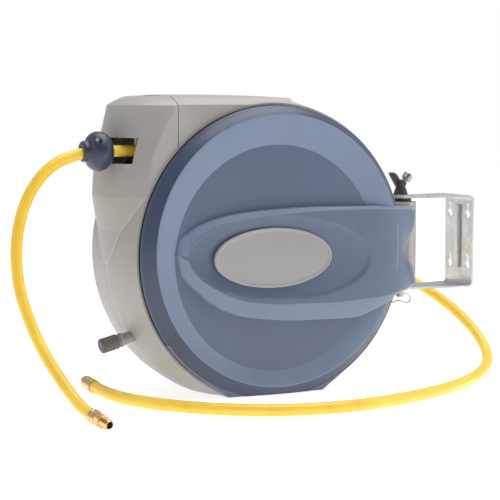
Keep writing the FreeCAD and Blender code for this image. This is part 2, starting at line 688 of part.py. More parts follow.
# Wall bracket and its pivot
def build_bracket():
    outer = box(190, BRACKET_X, -BRACKET_HALF, BRACKET_HALF, BRACKET_LOW_Z, BRACKET_HIGH_Z)
    outer_bends = [e for e in outer.Edges if e.CenterOfMass.x > BRACKET_X - 1 and e.Length > 60
                   and abs(e.CenterOfMass.y) < 1]
    outer = outer.makeFillet(7, outer_bends)
    inner = box(180, BRACKET_X - STEEL, -BRACKET_HALF - 5, BRACKET_HALF + 5, BRACKET_LOW_Z + STEEL,
                BRACKET_HIGH_Z - STEEL)
    inner_bends = [e for e in inner.Edges if e.CenterOfMass.x > BRACKET_X - STEEL - 1 and e.Length > 60
                   and abs(e.CenterOfMass.y) < 1]
    inner = inner.makeFillet(4, inner_bends)
    end_r = 17.0
    reach = math.atan2(BRACKET_HALF - end_r, 80)
    tx = PIVOT_X - end_r * math.sin(reach)
    ty = end_r * math.cos(reach)
    plan = face([
        arc(V(tx, ty, 100), V(PIVOT_X - end_r, 0, 100), V(tx, -ty, 100)),
        line(V(tx, -ty, 100), V(322, -BRACKET_HALF, 100)),
        line(V(322, -BRACKET_HALF, 100), V(360, -BRACKET_HALF, 100)),
        line(V(360, -BRACKET_HALF, 100), V(360, BRACKET_HALF, 100)),
        line(V(360, BRACKET_HALF, 100), V(322, BRACKET_HALF, 100)),
        line(V(322, BRACKET_HALF, 100), V(tx, ty, 100)),
    ]).extrude(V(0, 0, 200))
    bracket = outer.cut(inner).common(plan)
    rib = cyl_z(13, 146, 236, BRACKET_X + 6.5, 0).common(box(330, BRACKET_X - 1, -20, 20, 100, 280))
    bracket = bracket.fuse(rib).cut(cyl_z(10, 148, 234, BRACKET_X + 6.5, 0))
    for y in (-22.5, 22.5):
        for z in (151, 223):
            bracket = bracket.cut(cyl_x(5.5, 330, 350, y, z))
            bracket = bracket.cut(box(330, 350, y - 2.8, y + 2.8, z, z + 13))
            bracket = bracket.cut(cyl_x(2.8, 330, 350, y, z + 13))
    return bracket.cut(cyl_z(PIVOT_R, 100, 280, PIVOT_X, 0))


def build_pivot():
    pin = cyl_z(PIVOT_R, 108, 256, PIVOT_X, 0).cut(cyl_x(1.6, PIVOT_X - 20, PIVOT_X + 20, 0, 113))
    lower_bush = ring_z(9, PIVOT_R + RUN_GAP, 127, 160, PIVOT_X, 0)
    lower_bush = lower_bush.fuse(ring_z(14, PIVOT_R + RUN_GAP, 123.3, 127, PIVOT_X, 0))
    upper_bush = ring_z(9, PIVOT_R + RUN_GAP, 210, 243, PIVOT_X, 0)
    upper_bush = upper_bush.fuse(ring_z(15, PIVOT_R + RUN_GAP, 243, 247.7, PIVOT_X, 0))
    washer = ring_z(13, PIVOT_R, BRACKET_HIGH_Z, BRACKET_HIGH_Z + 1.6, PIVOT_X, 0)
    return pin, lower_bush, upper_bush, washer


KNOB_ROOT = V(PIVOT_X + 1, 0, 266)
KNOB_AXIS = V(0.64, 0, 0.77)


def build_pin_head():
    low = BRACKET_HIGH_Z + 1.6
    base = Part.makeCone(10.5, 6.5, 12, V(PIVOT_X, 0, low), UP)
    trunk = Part.makeCylinder(6.5, 12, V(PIVOT_X, 0, low + 8), V(-0.2, 0, 1))
    fin = face([
        line(V(PIVOT_X - 3, -2.5, low + 4), V(PIVOT_X + 4, -2.5, low + 12)),
        line(V(PIVOT_X + 4, -2.5, low + 12), V(PIVOT_X - 6, -2.5, low + 26)),
        arc(V(PIVOT_X - 6, -2.5, low + 26), V(PIVOT_X - 11, -2.5, low + 30.5), V(PIVOT_X - 19, -2.5, low + 31)),
        line(V(PIVOT_X - 19, -2.5, low + 31), V(PIVOT_X - 18, -2.5, low + 28)),
        line(V(PIVOT_X - 18, -2.5, low + 28), V(PIVOT_X - 3, -2.5, low + 4)),
    ]).extrude(V(0, 5, 0))
    collar = Part.makeCylinder(5.5, 9, KNOB_ROOT - KNOB_AXIS * 3, KNOB_AXIS)
    head = fuse([base, trunk, fin, collar]).cut(cyl_z(PIVOT_R, low - 5, 256, PIVOT_X, 0))
    for radius, start in ((2.5 + RUN_GAP, -4.0), (4.6, 6.0), (7.4, 9.0)):
        head = head.cut(Part.makeCylinder(radius, 20, KNOB_ROOT + KNOB_AXIS * start, KNOB_AXIS))
    return head


def build_knob():
    stem = Part.makeCylinder(2.5, 18, KNOB_ROOT - KNOB_AXIS * 3, KNOB_AXIS)
    neck = Part.makeCylinder(4.0, 3.5, KNOB_ROOT + KNOB_AXIS * 6.4, KNOB_AXIS)
    grip_part = Part.makeCylinder(6.8, 10, KNOB_ROOT + KNOB_AXIS * 9.5, KNOB_AXIS)
    grip_part = grip_part.makeFillet(1.5, [e for e in grip_part.Edges if e.Length > 40 and e.Closed])
    return stem.fuse(neck), grip_part.cut(stem.fuse(neck))


def build_hairpin():
    leg = route_path([(PIVOT_X - 14, 0, 113), (PIVOT_X + 10, 0, 113), (PIVOT_X + 19, 0, 106),
                      (PIVOT_X + 14, 0, 97), (PIVOT_X - 2, 0, 103.5), (PIVOT_X - 14, 0, 100)])
    ring = Part.Wire([Part.Circle(V(PIVOT_X - 14, 0, 113), ALONG_X, 1.1).toShape()])
    return leg.makePipeShell([ring], True, False)


def build_rear_cap():
    cap = ring_y(62, 24, REAR_Y, REAR_Y + 5)
    cap = cap.makeChamfer(2.0, [e for e in cap.Edges if abs(e.CenterOfMass.y - REAR_Y - 5) < 0.01
                                and e.Length > 200])
    screws = []
    for k in range(4):
        x, z = on_circle(44, 45 + 90 * k)
        cap = cap.cut(cyl_y(3.4, REAR_Y + 3, REAR_Y + 6, x, z))
        screws.append(cyl_y(3.3, REAR_Y + 3, REAR_Y + 4.6, x, z).cut(
            box(x - 2.2, x + 2.2, REAR_Y + 3.8, REAR_Y + 5, z - 0.5, z + 0.5)))
    return cap, screws


def build_housing_screws():
    screws = []
    for angle in BOSS_ANGLES:
        x, z = on_circle(BOSS_RADIUS, angle)
        head = cyl_y(4.0, 75, 77.8, x, z).cut(box(x - 2.8, x + 2.8, 76.8, 80, z - 0.6, z + 0.6))
        screws.append(head.fuse(cyl_y(2.0, -10, 75, x, z)))
    return screws


def build_axle():
    tube = cyl_y(AXLE_R, -82, REAR_Y + 5)
    tube = tube.cut(cyl_y(5, 5, REAR_Y + 6))
    return tube.cut(cyl_z(4, AXIS_Z, AXIS_Z + 20, 0, 24))


def build_axle_nuts():
    front = Part.Face(Part.makePolygon(hexagon(21, V(0, -82, AXIS_Z), ALONG_X, UP))).extrude(V(0, 6, 0))
    rear = ring_y(22, AXLE_R, REAR_Y - 7, REAR_Y - WALL)
    rear_clamp = ring_y(22, AXLE_R, REAR_Y, REAR_Y + 4.5)
    return front.cut(cyl_y(AXLE_R, -90, -60)), rear.fuse(ring_y(16, AXLE_R, REAR_Y - 4, REAR_Y)), rear_clamp


def main():
    os.makedirs("parts", exist_ok=True)
    front, rear, nose = build_shells()
    export("front_housing", front)
    export("rear_housing", rear)
    export("outlet_nose", nose)
    export("front_cover", build_cover())
    export("cover_badge", build_badge())
    export("front_plate", build_front_plate())
    export("axle", build_axle())
    front_nut, rear_seat, rear_nut = build_axle_nuts()
    export("axle_front_nut", front_nut)
    export("axle_rear_seat", rear_seat)
    export("axle_rear_nut", rear_nut)
    cap, cap_screws = build_rear_cap()
    export("rear_cap", cap)
    export("rear_screws", cap_screws + build_housing_screws())

    export("drum_hub", build_hub())
    export("drum_flange_front", build_flange(-1))
    export("drum_flange_rear", build_flange(1))
    export("drum_bush_front", build_bush(-1))
    export("drum_bush_rear", build_bush(1))
    export("hose_winding", build_winding())
    export("spring_cassette", build_spring_cassette())
    export("mainspring", build_mainspring())
    export("spring_arbor", ring_y(19.9, AXLE_R, -42, -18))
    export("rotary_union", build_union())
    export("union_nipple", build_union_nipple())
    export("drum_gear", build_drum_gear())
    export("ratchet_ring", build_ratchet())
    pawl, pawl_pin = build_pawl()
    export("pawl", pawl)
    export("pawl_pin", pawl_pin)

    export("idler_gear_1", build_idler(IDLER_1_DISTANCE, GEAR_ANGLE))
    export("idler_gear_2", build_idler(IDLER_2_DISTANCE, GEAR_ANGLE))
    export("idler_pins", build_idler_pins())
    x, z = along_train(SCREW_DISTANCE)
    export("screw_gear", gear(SCREW_TEETH, x, z, GEAR_ANGLE + math.pi / SCREW_TEETH, JOURNAL_R))
    export("level_wind_screw", build_level_wind_screw())
    export("guide_rod", build_guide_rod())
    export("level_wind_carriage", build_carriage())
    near_roller, near_pin = build_roller(-1)
    far_roller, far_pin = build_roller(1)
    export("guide_roller_near", near_roller)
    export("guide_roller_far", far_roller)
    export("guide_roller_pins", [near_pin, far_pin])

    near, far, ball_screws = build_ball()
    export("stop_ball_near", near)
    export("stop_ball_far", far)
    export("stop_ball_screws", ball_screws)
    export("inner_hose", cyl_x(HOSE_R, CLAMP_X, -68, GUIDE_Y, HOSE_Z))
    export("outlet_hose", cord_tube(OUTLET_ROUTE, HOSE_R))
    report_cord("outlet hose", OUTLET_ROUTE)
    outlet_ferrule, outlet_nipple = build_outlet_fitting()
    export("outlet_ferrule", outlet_ferrule)
    export("outlet_nipple", outlet_nipple)

    elbow, inlet_ferrule = build_inlet()
    export("inlet_elbow", elbow)
    export("inlet_ferrule", inlet_ferrule)
    export("lead_in_hose", cord_tube(LEAD_IN_ROUTE, HOSE_R))
    report_cord("lead-in hose", LEAD_IN_ROUTE)
    lead_ferrule, lead_socket = build_lead_in_fitting()
    export("lead_in_ferrule", lead_ferrule)
    export("lead_in_socket", lead_socket)

    peg, cap = build_peg()
    export("stop_peg", peg)
    export("stop_peg_cap", cap)
    export("wall_bracket", build_bracket())
    pin, lower_bush, upper_bush, washer = build_pivot()
    export("pivot_pin", pin)
    export("pivot_bush_lower", lower_bush)
    export("pivot_bush_upper", upper_bush)
    export("pivot_washer", washer)
    export("pin_head", build_pin_head())
    stem, knob = build_knob()
    export("lock_stem", stem)
    export("lock_knob", knob)
    export("hairpin", build_hairpin())


main()
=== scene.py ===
import json
import math

import bmesh
import bpy
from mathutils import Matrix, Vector


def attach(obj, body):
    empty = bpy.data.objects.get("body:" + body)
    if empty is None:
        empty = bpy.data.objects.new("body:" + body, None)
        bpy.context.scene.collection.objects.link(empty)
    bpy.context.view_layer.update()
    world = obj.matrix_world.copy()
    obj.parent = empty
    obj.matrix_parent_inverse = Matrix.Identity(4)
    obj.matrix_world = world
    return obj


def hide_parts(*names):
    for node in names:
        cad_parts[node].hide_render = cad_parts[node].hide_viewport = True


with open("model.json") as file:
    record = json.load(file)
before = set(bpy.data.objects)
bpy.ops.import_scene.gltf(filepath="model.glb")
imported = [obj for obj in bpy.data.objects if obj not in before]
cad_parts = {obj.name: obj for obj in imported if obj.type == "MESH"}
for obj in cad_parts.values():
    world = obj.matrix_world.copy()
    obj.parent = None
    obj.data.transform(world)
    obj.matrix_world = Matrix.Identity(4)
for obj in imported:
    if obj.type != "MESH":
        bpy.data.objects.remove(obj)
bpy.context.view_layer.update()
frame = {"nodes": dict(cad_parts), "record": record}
nodes = frame["nodes"]

# Driving dimensions, in metres, in the frame of the CAD model
MM = 0.001
HOSE_DIAMETER = 15 * MM
HEX_CORNER = 9.75          # millimetres, as is the next
THREAD_PITCH = 1.34
OUTLET_ROUTE = [
    (-0.237, -0.031, 0.321), (-0.268, -0.031, 0.316), (-0.300, -0.031, 0.299), (-0.328, -0.034, 0.264),
    (-0.345, -0.042, 0.213), (-0.348, -0.056, 0.159), (-0.341, -0.078, 0.113), (-0.331, -0.104, 0.075),
    (-0.320, -0.131, 0.046), (-0.313, -0.157, 0.0266), (-0.309, -0.181, 0.0158), (-0.3045, -0.204, 0.0116),
]
LEAD_IN_ROUTE = [
    (0.026, 0.106, 0.186), (0.076, 0.109, 0.186), (0.141, 0.119, 0.182), (0.211, 0.127, 0.168),
    (0.278, 0.123, 0.143), (0.330, 0.104, 0.117), (0.361, 0.072, 0.092), (0.380, 0.030, 0.060),
    (0.380, -0.012, 0.033), (0.360, -0.052, 0.015), (0.318, -0.096, 0.0085), (0.260, -0.148, 0.0075),
    (0.192, -0.193, 0.0075), (0.106, -0.230, 0.0075), (0.015, -0.252, 0.0075), (-0.078, -0.238, 0.0075),
    (-0.152, -0.184, 0.0075), (-0.198, -0.114, 0.0075), (-0.219, -0.037, 0.0082), (-0.216, 0.028, 0.0116),
]


# Camera, low and to the left of the front
def make_camera():
    data = bpy.data.cameras.new("camera")
    data.lens = 131.5
    data.sensor_width = 36
    data.clip_start = 0.1
    data.clip_end = 50
    camera = bpy.data.objects.new("camera", data)
    bpy.context.scene.collection.objects.link(camera)
    camera.location = (-1.12221, -2.18636, 0.39465)
    look = Vector((0.45641, 0.88565, -0.08553))
    camera.rotation_euler = look.to_track_quat("-Z", "Y").to_euler()
    bpy.context.scene.camera = camera


# Hoses: one smooth spline each, through the same route as the CAD tube
def make_hose(name, route, body, node):
    curve = bpy.data.curves.new(name, "CURVE")
    curve.dimensions = "3D"
    curve.bevel_depth = HOSE_DIAMETER / 2
    curve.bevel_resolution = 7
    curve.resolution_u = 20
    curve.use_fill_caps = True
    spline = curve.splines.new("NURBS")
    spline.points.add(len(route) - 1)
    for point, place in zip(spline.points, route):
        point.co = (*place, 1)
    spline.order_u = 3
    spline.use_endpoint_u = True
    hose = bpy.data.objects.new(name, curve)
    bpy.context.scene.collection.objects.link(hose)
    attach(hose, body)
    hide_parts(node)
    return hose


# Materials
class Shader:
    """A Principled material with short calls for the procedural nodes that it needs."""

    def __init__(self, name, colour, roughness, metallic=0.0):
        self.material = bpy.data.materials.new(name)
        self.material.use_nodes = True
        self.tree = self.material.node_tree
        self.principled = self.tree.nodes["Principled BSDF"]
        self.principled.inputs["Base Color"].default_value = (*colour, 1)
        self.principled.inputs["Roughness"].default_value = roughness
        self.principled.inputs["Metallic"].default_value = metallic
        self.place = self.tree.nodes.new("ShaderNodeTexCoord").outputs["Object"]

    def node(self, kind, **settings):
        made = self.tree.nodes.new(kind)
        for key, value in settings.items():
            setattr(made, key, value)
        return made

    def link(self, output, target):
        self.tree.links.new(output, target)

    def stretched(self, scale):
        mapping = self.node("ShaderNodeMapping")
        mapping.inputs["Scale"].default_value = scale
        self.link(self.place, mapping.inputs["Vector"])
        return mapping.outputs["Vector"]

    def noise(self, scale, detail=3.0, stretch=None, roughness=0.5):
        texture = self.node("ShaderNodeTexNoise")
        texture.inputs["Scale"].default_value = scale
        texture.inputs["Detail"].default_value = detail
        texture.inputs["Roughness"].default_value = roughness
        self.link(self.stretched(stretch) if stretch else self.place, texture.inputs["Vector"])
        return texture.outputs["Fac"]

    def span(self, value, low, high, from_low=0.3, from_high=0.7):
        spread = self.node("ShaderNodeMapRange")
        spread.inputs["From Min"].default_value = from_low
        spread.inputs["From Max"].default_value = from_high
        spread.inputs["To Min"].default_value = low
        spread.inputs["To Max"].default_value = high
        self.link(value, spread.inputs["Value"])
        return spread.outputs["Result"]

    def mixed(self, factor, first, second):
        mix = self.node("ShaderNodeMix", data_type="RGBA")
        self.link(factor, mix.inputs["Factor"])
        for socket, colour in ((mix.inputs[6], first), (mix.inputs[7], second)):
            if isinstance(colour, tuple):
                socket.default_value = (*colour, 1)
            else:
                self.link(colour, socket)
        return mix.outputs[2]

    def colour_from(self, output):
        self.link(output, self.principled.inputs["Base Color"])

    def roughness_from(self, value, low, high):
        self.link(self.span(value, low, high), self.principled.inputs["Roughness"])

    def bump(self, height, distance, strength=1.0):
        bump = self.node("ShaderNodeBump")
        bump.inputs["Distance"].default_value = distance
        bump.inputs["Strength"].default_value = strength
        self.link(height, bump.inputs["Height"])
        old = self.principled.inputs["Normal"]
        if old.links:
            self.link(old.links[0].from_socket, bump.inputs["Normal"])
        self.link(bump.outputs["Normal"], old)

    def soft_edges(self, radius):
        bevel = self.node("ShaderNodeBevel")
        bevel.samples = 4
        bevel.inputs["Radius"].default_value = radius
        self.link(bevel.outputs["Normal"], self.principled.inputs["Normal"])

    def edges(self):
        """Near 1 on worn convex edges, 0 elsewhere."""
        geometry = self.node("ShaderNodeNewGeometry")
        return self.span(geometry.outputs["Pointiness"], 0.0, 1.0, 0.52, 0.60)

    def socket(self, name, value):
        self.principled.inputs[name].default_value = value


def shade(colour, factor):
    return tuple(channel * factor for channel in colour)


def plastic(name, colour, roughness, grain=900, depth=0.00006, cloud=0.06, coat=0.0):
    """Moulded plastic: fine spark-eroded grain, faint flow clouds, scuffed roughness, rubbed edges."""
    s = Shader(name, colour, roughness)
    cloudy = s.span(s.noise(9, 3), 0.0, 1.0)
    base = s.mixed(cloudy, shade(colour, 1 - cloud), shade(colour, 1 + cloud))
    s.colour_from(s.mixed(s.edges(), base, shade(colour, 1.25)))
    s.roughness_from(s.noise(26, 5), roughness - 0.05, roughness + 0.06)
    s.soft_edges(0.0008)
    s.bump(s.noise(grain, 2), depth, 0.5)
    s.bump(s.noise(60, 2), 0.0001, 0.25)
    s.socket("Coat Weight", coat)
    s.socket("Coat Roughness", 0.25)
    return s.material


def metal(name, colour, roughness, stretch=(1, 1, 1), streak=300, blotch=0.12, depth=0.00004):
    """Metal with drawn or turned streaks, blotchy oxide and uneven polish."""
    s = Shader(name, colour, roughness, metallic=1.0)
    oxide = s.span(s.noise(38, 5), 0.0, 1.0)
    s.colour_from(s.mixed(oxide, shade(colour, 1 - blotch), shade(colour, 1 + blotch * 0.6)))
    streaks = s.noise(streak, 3, stretch)
    s.roughness_from(streaks, roughness - 0.08, roughness + 0.12)
    s.soft_edges(0.0004)
    s.bump(streaks, depth, 0.6)
    return s.material


def zinc(name):
    """Zinc plated sheet: spangle patches, rolling lines and dull fingerprints."""
    colour = (0.63, 0.63, 0.65)
    s = Shader(name, colour, 0.34, metallic=1.0)
    spangle = s.node("ShaderNodeTexVoronoi")
    spangle.inputs["Scale"].default_value = 160
    s.link(s.place, spangle.inputs["Vector"])
    patches = s.span(spangle.outputs["Color"], 0.0, 1.0, 0.0, 1.0)
    base = s.mixed(patches, shade(colour, 0.86), shade(colour, 1.06))
    s.colour_from(s.mixed(s.span(s.noise(22, 5), 0.0, 0.5), base, (0.52, 0.52, 0.54)))
    s.roughness_from(s.noise(45, 4), 0.26, 0.46)
    s.soft_edges(0.0006)
    s.bump(s.noise(420, 2, (1, 1, 0.04)), 0.00005, 0.5)
    return s.material


def hose_cover(name):
    """Yellow hose cover: satin skin, fine bumpy grain, scuffs and grime."""
    colour = (0.93, 0.68, 0.075)
    s = Shader(name, colour, 0.38)
    warm = s.span(s.noise(14, 4), 0.0, 1.0)
    base = s.mixed(warm, (0.94, 0.68, 0.070), (0.91, 0.56, 0.045))
    scuffs = s.span(s.noise(55, 7), 0.0, 0.55, 0.56, 0.75)
    s.colour_from(s.mixed(scuffs, base, (0.70, 0.50, 0.12)))
    s.roughness_from(s.noise(90, 4), 0.30, 0.48)
    s.bump(s.noise(700, 2), 0.00008, 0.4)
    s.bump(s.noise(120, 3), 0.0002, 0.25)
    s.socket("Subsurface Weight", 0.08)
    s.socket("Subsurface Radius", (0.004, 0.002, 0.0008))
    s.socket("Coat Weight", 0.15)
    s.socket("Coat Roughness", 0.3)
    return s.material


def make_materials():
    return {
        "housing_grey": plastic("housing_grey", (0.335, 0.322, 0.302), 0.42, cloud=0.04),
        "cover_blue": plastic("cover_blue", (0.096, 0.128, 0.203), 0.36, grain=1100, cloud=0.05, coat=0.15),
        # Rim material: the cover's blue painted much darker, as painted shade on the rim bevel
        "cover_rim_painted_shade": plastic("cover_rim_painted_shade", (0.040, 0.057, 0.108), 0.36, grain=1100, cloud=0.05, coat=0.15),
        # Band material: the cover's blue painted lighter, as painted light on the dish slope and the eye's
        # flanks
        "cover_band_painted_light": plastic("cover_band_painted_light", (0.168, 0.217, 0.318), 0.36, grain=1100, cloud=0.05, coat=0.15),
        "badge_grey": plastic("badge_grey", (0.325, 0.322, 0.328), 0.36, cloud=0.04),
        "black_plastic": plastic("black_plastic", (0.022, 0.022, 0.024), 0.42, cloud=0.1),
        "drum_plastic": plastic("drum_plastic", (0.035, 0.035, 0.037), 0.5),
        "gear_nylon": plastic("gear_nylon", (0.62, 0.60, 0.54), 0.45),
        "ball_blue": plastic("ball_blue", (0.024, 0.033, 0.064), 0.40, grain=1000, cloud=0.06, coat=0.1),
        "rubber_black": plastic("rubber_black", (0.12, 0.115, 0.10), 0.55, grain=700, depth=0.0001),
        "zinc_steel": zinc("zinc_steel"),
        "bright_steel": metal("bright_steel", (0.42, 0.42, 0.43), 0.26, (1, 1, 12)),
        "spring_steel": metal("spring_steel", (0.24, 0.25, 0.28), 0.34),
        "brass": metal("brass", (0.76, 0.50, 0.23), 0.24, (1, 14, 1), streak=260),
        "hose_yellow": hose_cover("hose_yellow"),
    }


# Mesh helpers
def new_piece(name, mesh, body, replaced):
    piece = bpy.data.objects.new(name, mesh)
    bpy.context.scene.collection.objects.link(piece)
    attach(piece, body)
    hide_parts(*replaced)
    return piece


def smooth_by_angle(mesh, degrees):
    for polygon in mesh.polygons:
        polygon.use_smooth = True
    mesh.set_sharp_from_angle(angle=math.radians(degrees))


def grid_mesh(name, rows, closed=False):
    """Quads between rows of equal numbers of points."""
    mesh = bpy.data.meshes.new(name)
    width = len(rows[0])
    points = [p for row in rows for p in row]
    quads = []
    for i in range(len(rows) - 1):
        for j in range(width if closed else width - 1):
            k = (j + 1) % width
            quads.append((i * width + j, i * width + k, (i + 1) * width + k, (i + 1) * width + j))
    mesh.from_pydata(points, [], quads)
    mesh.update()
    return mesh


def smoothstep(value):
    t = min(max(value, 0.0), 1.0)
    return t * t * (3 - 2 * t)


def between(x, stations):
    """A smooth curve through (x, value) stations, as a cubic through each span with shared slopes."""
    if x <= stations[0][0]:
        return stations[0][1]
    for k in range(len(stations) - 1):
        x0, y0 = stations[k]
        x1, y1 = stations[k + 1]
        if x <= x1:
            before = stations[max(k - 1, 0)]
            after = stations[min(k + 2, len(stations) - 1)]
            m0 = (y1 - before[1]) / (x1 - before[0])
            m1 = (after[1] - y0) / (after[0] - x0)
            h = x1 - x0
            t = (x - x0) / h
            return ((2 * t ** 3 - 3 * t ** 2 + 1) * y0 + (t ** 3 - 2 * t ** 2 + t) * h * m0
                    + (-2 * t ** 3 + 3 * t ** 2) * y1 + (t ** 3 - t ** 2) * h * m1)
    return stations[-1][1]


# Front cover, in millimetres here: a dished disc with a flat foot, and a raised eye that runs out as an arm
RIM_PROFILE = [(0.0, -79.0), (0.0, -82.6), (0.3, -84.0), (1.1, -85.3), (2.2, -86.0), (3.4, -86.5),
               (4.2, -87.2), (13.0, -94.2), (13.8, -94.8), (14.8, -95.1), (16.0, -95.0)]
RIM_CREST_INSET = 13.0
BAND_OUT = 16.0
BAND_Y = -95.0
BAND_STEPS = 14
DISC_R = 193.0
DISC_Z = 186.0
FOOT_HALF = 70.0
CREST_SHIFT = (2.5, 3.5)   # from the disc's centre to the centre of the rim's crest
COVER_WALL = 2.6 * MM
FOOT_WALL = 2.4 * MM
EYE_LEFT = -147.0
EYE_SPAN = 393.0
EYE_FLANK_STEPS = 16
EYE_FACE_STEPS = 56
FIELD_R = 148.0
FIELD_Z = 180.0
FIELD_Y = -88.8


def foot_radius(angle):
    """From the disc's centre to the outline that the foot adds at the bottom."""
    if math.sin(angle) >= 0:
        return DISC_R
    corner = math.atan2(DISC_Z, FOOT_HALF)
    tangent = corner - math.acos(DISC_R / math.hypot(FOOT_HALF, DISC_Z))
    fold = math.atan2(-math.sin(angle), abs(math.cos(angle)))
    if fold >= corner:
        return DISC_Z / -math.sin(angle)
    return DISC_R / math.cos(fold - tangent) if fold > tangent else DISC_R


def field_depth(x, z):
    r = math.hypot(x, z - FIELD_Z)
    return FIELD_Y - 1.8 * (1 - min(r / FIELD_R, 1.0) ** 2)


def full_turn(turns):
    return [2 * math.pi * k / turns for k in range(turns)]


def in_metres(rows):
    return [[Vector(p) * MM for p in row] for row in rows]


def cover_disc():
    angles = full_turn(320)
    rows = []
    shift_x, shift_z = CREST_SHIFT
    for inset, y in RIM_PROFILE:
        r = DISC_R - inset
        share = min(inset / RIM_CREST_INSET, 1.0)
        middle_x, middle_z = shift_x * share, DISC_Z + shift_z * share
        rows.append([(middle_x + r * math.cos(a), y, middle_z + r * math.sin(a)) for a in angles])
    outer = DISC_R - BAND_OUT
    for k in range(1, BAND_STEPS + 1):
        t = k / BAND_STEPS
        y = BAND_Y + (FIELD_Y - BAND_Y) * (0.75 * t + 0.25 * t * t)
        r = outer + (FIELD_R - outer) * t
        middle_x, middle_z = shift_x * (1 - t), (DISC_Z + shift_z) * (1 - t) + FIELD_Z * t
        rows.append([(middle_x + r * math.cos(a), y, middle_z + r * math.sin(a)) for a in angles])
    for share in (0.994, 0.985, 0.96, 0.9, 0.8, 0.7, 0.6, 0.5, 0.4, 0.3, 0.2, 0.1, 0.02):
        row = []
        for a in angles:
            x, z = share * FIELD_R * math.cos(a), FIELD_Z + share * FIELD_R * math.sin(a)
            row.append((x, field_depth(x, z), z))
        rows.append(row)
    return in_metres(rows)


def cover_foot():
    """The flat foot: the part of the skirt that reaches past the disc at the bottom."""
    angles = [math.radians(a) for a in range(-144, -35)]
    corner = math.atan2(DISC_Z, FOOT_HALF)
    angles = sorted(angles + [-corner, corner - math.pi])
    rows = []
    for inset, y in ((0, -77.3), (0, -83.6), (0.4, -84.7), (1.4, -85.4), (2.6, -85.6), (9, -85.6)):
        row = []
        for a in angles:
            r = foot_radius(a) - inset
            row.append((r * math.cos(a), y, max(DISC_Z + r * math.sin(a), 0.0)))
        rows.append(row)
    return in_metres(rows)


# Outline of the eye and the arm: (x, z) along the lower and the upper edge
EYE_LOWER = [(-147, 188), (-139.5, 162), (-118, 139.5), (-90, 118.6), (-56, 106), (3, 98), (63, 96),
             (114, 96.4), (145, 106), (171.5, 116), (180, 123), (205, 126), (246, 127)]
EYE_UPPER = [(-147, 188), (-144, 205), (-132, 217), (-109, 229), (-80, 237), (-32, 243), (42, 246),
             (93, 245.5), (171, 244), (214, 240), (246, 238)]
# Its crest lines: where the flanks end and the face begins
CREST_LOWER = [(-134, 188), (-127, 169), (-104, 148.6), (-63, 129.4), (-14, 121.7), (35, 120), (86, 119.5),
               (132, 122), (165, 124), (180, 128), (205, 130.5), (246, 131)]
CREST_UPPER = [(-134, 188), (-129, 205), (-105, 221), (-82, 229), (-48, 234), (-4, 237.5), (60, 240.5),
               (171, 239.5), (214, 236), (246, 234)]
ARM_FACE = [(-147, -91.5), (-140, -95), (-120, -99), (-95, -102), (-60, -104), (0, -104.8), (60, -104.8),
            (110, -103.4), (150, -100.2), (187, -92.5), (210, -80), (228, -63), (240, -47), (246, -38)]
RECESS = (0.0, 181.5, 134.5, 54.5, 0.035)
BADGE = (-14.0, 182.0, 86.5, 39.5, 0.0)


def ellipse_level(x, z, oval):
    return math.hypot((x - oval[0]) / oval[2], (z + oval[4] * x - oval[1]) / oval[3])


def arm_end(z):
    """The arm's end: a soft notch round the pivot, with rounded corners."""
    notch = 22.5 * math.exp(-((z - 180.5) / 21.0) ** 2)
    corner = 7.0 * max(0.0, (z - 233.0) / 8.0) ** 2 + 7.0 * max(0.0, (135.0 - z) / 8.0) ** 2
    return 244.0 - notch - corner


def sunk(x, z):
    """How far the face lies below the crest: nothing outside the recess, most round the badge."""
    outer = ellipse_level(x, z, RECESS)
    inner = ellipse_level(x, z, BADGE)
    if outer >= 1.0:
        return 0.0
    share = (1.0 - outer) / ((1.0 - outer) + 0.6 * max(inner - 1.0, 0.0))
    return 1.4 * smoothstep((1.0 - outer) / 0.045) + 2.8 * share


def flank(t, roundness):
    """Height of a flank at the share t of its width: a straight slope that rolls over at its crest."""
    turn = 1.0 - roundness
    if t <= turn:
        return t * 1.0 / (turn + roundness / 2)
    u = (t - turn) / roundness
    slope = 1.0 / (turn + roundness / 2)
    return turn * slope + roundness * slope * (u - u * u / 2)


def eye_rows():
    columns = 190
    across = [k / EYE_FLANK_STEPS for k in range(1, EYE_FLANK_STEPS + 1)]
    inner = EYE_FACE_STEPS
    rows = []
    for i in range(columns + 1):
        u = i / columns
        x = EYE_LEFT + EYE_SPAN * u if u > 0.05 else EYE_LEFT + EYE_SPAN * 0.05 * (u / 0.05) ** 2
        low, high = between(x, EYE_LOWER), between(x, EYE_UPPER)
        height = max(high - low, 0.02)
        arm = smoothstep((x - 20) / 110)
        upper = lower = 0.47 * height
        if x > -134:
            upper = min(max(high - between(x, CREST_UPPER), 2.0), upper)
            lower = min(max(between(x, CREST_LOWER) - low, 2.0), lower)
        roundness = 0.18 + 0.6 * arm
        face_y = between(x, ARM_FACE)
        root = -88.0 if x < 180 else -88.0 + 50.0 * smoothstep((x - 180) / 12)
        foot_y = min(-89.3, face_y + 3.0) if x < 180 else face_y + 3.0
        foot_y = max(foot_y, face_y) if x < -130 else foot_y
        row = []

        def place(z, y):
            pull = max(0.0, (x - 186.0) / 60.0)
            row.append((x - pull * (246.0 - arm_end(z)) if pull > 0 else x, y, z))

        place(low, root)
        for t in across:
            z = low + lower * t
            rise = flank(t, roundness)
            place(z, foot_y + (face_y + sunk(x, z) - foot_y) * rise)
        for k in range(1, inner):
            z = low + lower + (high - upper - low - lower) * k / inner
            place(z, face_y + sunk(x, z))
        for t in reversed(across):
            z = high - upper * t
            rise = flank(t, roundness)
            place(z, foot_y + (face_y + sunk(x, z) - foot_y) * rise)
        place(high, root)
        rows.append(row)
    return in_metres(rows)


def thicken(mesh_object, thickness):
    modifier = mesh_object.modifiers.new("wall", "SOLIDIFY")
    modifier.thickness = thickness
    modifier.offset = -1
    apply_modifiers(mesh_object)


def apply_modifiers(piece):
    depsgraph = bpy.context.evaluated_depsgraph_get()
    final = bpy.data.meshes.new_from_object(piece.evaluated_get(depsgraph))
    piece.modifiers.clear()
    piece.data = final


